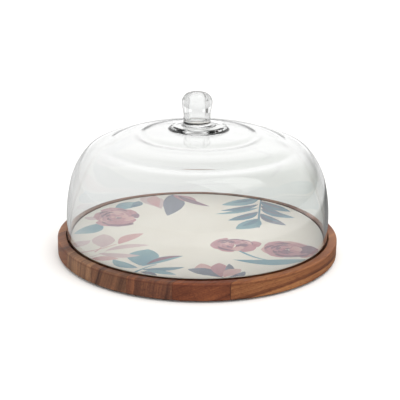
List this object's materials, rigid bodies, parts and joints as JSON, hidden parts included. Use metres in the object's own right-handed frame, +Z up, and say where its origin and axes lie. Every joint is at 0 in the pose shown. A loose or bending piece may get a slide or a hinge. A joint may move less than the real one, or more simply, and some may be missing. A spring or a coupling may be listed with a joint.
{
  "type": "cheese dome",
  "caption": "Clear glass cheese dome with a round knob on a round wooden board with an enamelled, flower-printed serving surface; the dome stands in a groove and lifts off.",
  "frame": {"origin": "middle of the round board, on the surface that the feet stand on", "axes": "+Z up along the axis of the dome and the board, -Y towards the front, +X to the right seen from the front"},
  "size_m": [0.3, 0.3, 0.1744],
  "materials": {
    "wood": "oiled dark acacia, satin",
    "enamel": "cream enamel with a flower print, gloss",
    "foot_rubber": "matt dark rubber",
    "dome_glass": "clear blown glass, polished"
  },
  "bodies": {
    "board": {"stave_1": "wood", "stave_2": "wood", "stave_3": "wood", "stave_4": "wood", "stave_5": "wood", "stave_6": "wood", "stave_7": "wood", "enamel_top": "enamel", "foot_1": "foot_rubber", "foot_2": "foot_rubber", "foot_3": "foot_rubber"},
    "dome": {"dome_shell": "dome_glass", "dome_knob": "dome_glass"}
  },
  "joints": [
    {"name": "dome_lift", "type": "slide", "parent": "board", "child": "dome", "axis": [0, 0, 1], "range_m": [0, 0.2]}
  ]
}
